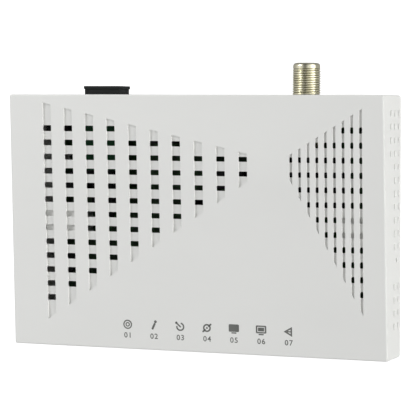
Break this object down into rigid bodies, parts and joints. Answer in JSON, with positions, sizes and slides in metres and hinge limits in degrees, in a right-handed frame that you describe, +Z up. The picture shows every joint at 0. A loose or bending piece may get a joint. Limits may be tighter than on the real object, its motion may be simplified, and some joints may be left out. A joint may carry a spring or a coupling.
{
  "type": "optical network terminal",
  "caption": "Low wedge-shaped optical network terminal: vented white case round a circuit board, with optical, coaxial, network and power sockets, a pull-off cap and two buttons.",
  "frame": {"origin": "centre of the whole outline, coaxial connector included, on the plane of the rubber feet", "axes": "+X to the right with the indicators towards the viewer, +Y from the indicator edge to the connector panel, +Z up out of the top cover"},
  "size_m": [0.1374, 0.1002, 0.025],
  "materials": {
    "white_shell": "warm white ABS, fine satin moulding texture",
    "panel_plastic": "white ABS, satin",
    "grey_rubber": "matt grey elastomer",
    "black_rubber": "matt charcoal elastomer",
    "black_plastic": "black glass-filled nylon, satin",
    "sheet_steel": "tinned or zinc-plated steel",
    "nickel": "warm nickel plate, glossy turned surface",
    "gold": "thin gold plate",
    "board_laminate": "green solder mask over glass laminate",
    "blackened_metal": null,
    "clear_acrylic": "polished clear acrylic",
    "green_plastic": "green adapter plastic",
    "ceramic": "white zirconia or acetal",
    "led_lens": "phosphor-filled LED lens"
  },
  "bodies": {
    "terminal": {"top_cover": "white_shell", "base_tray": "white_shell", "rear_panel": "panel_plastic", "cover_screw_left": "sheet_steel", "cover_screw_right": "sheet_steel", "rubber_foot_1": "grey_rubber", "rubber_foot_2": "grey_rubber", "rubber_foot_3": "grey_rubber", "rubber_foot_4": "grey_rubber", "main_board": "board_laminate", "board_screw_1": "sheet_steel", "board_screw_2": "sheet_steel", "board_screw_3": "sheet_steel", "board_screw_4": "sheet_steel", "optical_port_housing": "green_plastic", "ferrule_sleeve": "ceramic", "optical_module": "blackened_metal", "coax_connector_body": "nickel", "coax_insulator": "ceramic", "coax_centre_contact": "gold", "rf_shield_can": "blackened_metal", "lan_jack_shield": "sheet_steel", "lan_jack_insert": "black_plastic", "lan_jack_contacts": "gold", "lan_transformer": "black_plastic", "power_jack_body": "black_plastic", "power_jack_pin": "nickel", "power_switch_body": "black_plastic", "reset_switch_body": "black_plastic", "light_guide": "clear_acrylic", "status_led_1": "led_lens", "status_led_2": "led_lens", "status_led_3": "led_lens", "status_led_4": "led_lens", "status_led_5": "led_lens", "status_led_6": "led_lens", "status_led_7": "led_lens", "processor": "black_plastic", "thermal_pad": "grey_rubber", "heat_sink": "blackened_metal", "memory_chip": "black_plastic", "capacitor_1": "blackened_metal", "capacitor_2": "blackened_metal", "power_inductor": "black_plastic", "crystal": "sheet_steel"},
    "power_button": {"power_button": "black_plastic"},
    "reset_plunger": {"reset_plunger": "black_plastic"},
    "dust_cap": {"dust_cap": "black_rubber"}
  },
  "joints": [
    {"name": "power_button_press", "type": "slide", "parent": "terminal", "child": "power_button", "axis": [0, -1, 0], "range_m": [0, 0.002], "stiffness_N_per_m": 500},
    {"name": "reset_press", "type": "slide", "parent": "terminal", "child": "reset_plunger", "axis": [0, -1, 0], "range_m": [0, 0.0005], "stiffness_N_per_m": 2500},
    {"name": "dust_cap_pull", "type": "slide", "parent": "terminal", "child": "dust_cap", "axis": [0, 1, 0], "range_m": [0, 0.016]}
  ]
}
